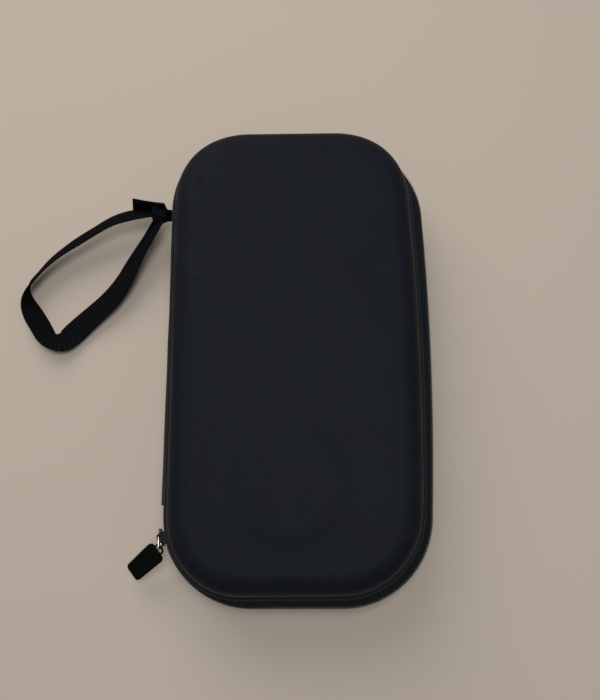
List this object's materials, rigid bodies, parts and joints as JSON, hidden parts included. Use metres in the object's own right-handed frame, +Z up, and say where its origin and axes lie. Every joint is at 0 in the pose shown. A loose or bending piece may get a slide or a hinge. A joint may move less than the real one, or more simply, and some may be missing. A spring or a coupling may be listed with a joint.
{
  "type": "hard case",
  "caption": "Closed zip-up hard case for a stethoscope: covered foam halves, fabric hinge, coil zip with rubber pull tab, wrist strap.",
  "frame": {"origin": "middle of the flat bottom, on the surface that the case lies on", "axes": "+Z up; +Y along the case towards the wrist strap's end; +X across the case, away from the fabric hinge"},
  "size_m": [0.2489, 0.278, 0.06],
  "materials": {
    "shell_fabric": "fine diagonal twill, matt",
    "binding_tape": "ribbed woven tape",
    "zip_tape": "herringbone zip tape",
    "zip_coil": "moulded nylon monofilament",
    "foam": "closed-cell foam",
    "lining": "brushed knit",
    "net": "knitted net",
    "elastic": "ribbed elastic",
    "hook_pad": "moulded hooks",
    "loop_pad": "napped loops",
    "slider_enamel": "black enamel on die-cast zinc",
    "nickel": "bright nickel plate",
    "tab_rubber": "matt moulded",
    "webbing": "cross-ribbed webbing"
  },
  "bodies": {
    "base": {"base_cover": "shell_fabric", "base_shell": "foam", "base_lining": "lining", "base_piping": "binding_tape", "base_rim_binding": "binding_tape", "base_zip_tape": "zip_tape", "base_zip_coil": "zip_coil", "hinge_tape": "zip_tape", "hinge_cover": "shell_fabric", "strap_anchor": "webbing", "left_band": "elastic", "right_band": "elastic", "hook_patch": "hook_pad", "loop_patch": "loop_pad"},
    "lid": {"lid_cover": "shell_fabric", "lid_shell": "foam", "lid_lining": "lining", "lid_piping": "binding_tape", "lid_rim_binding": "binding_tape", "lid_zip_tape": "zip_tape", "lid_zip_coil": "zip_coil", "mesh_pocket": "net", "mesh_pocket_hem": "elastic"},
    "slider": {"zip_slider": "slider_enamel"},
    "pull_ring": {"pull_link": "nickel"},
    "pull": {"pull_tab": "tab_rubber"},
    "strap": {"strap_gather": "webbing", "wrist_strap": "webbing", "strap_tail": "webbing"}
  },
  "joints": [
    {"name": "lid_hinge", "type": "hinge", "parent": "base", "child": "lid", "pos_m": [-0.0795, 0, 0.028], "axis": [0, -1, 0], "range_deg": [0, 120], "deforming": ["hinge_tape", "hinge_cover"]},
    {"name": "zip_travel", "type": "hinge", "parent": "base", "child": "slider", "pos_m": [-0.025, -0.088, 0.028], "axis": [0, 0, 1], "range_deg": [0, 75], "deforming": ["base_zip_coil", "lid_zip_coil"]},
    {"name": "pull_swing", "type": "hinge", "parent": "slider", "child": "pull_ring", "pos_m": [-0.07668, -0.10064, 0.028], "axis": [0, 0, -1], "range_deg": [0, 70]},
    {"name": "tab_swing", "type": "hinge", "parent": "pull_ring", "child": "pull", "pos_m": [-0.07651, -0.10714, 0.028], "axis": [0, 0, 1], "range_deg": [-30, 15]},
    {"name": "strap_swing", "type": "hinge", "parent": "base", "child": "strap", "pos_m": [-0.0805, 0.0945, 0.02], "axis": [0, 0, 1], "range_deg": [-50, 12]}
  ]
}
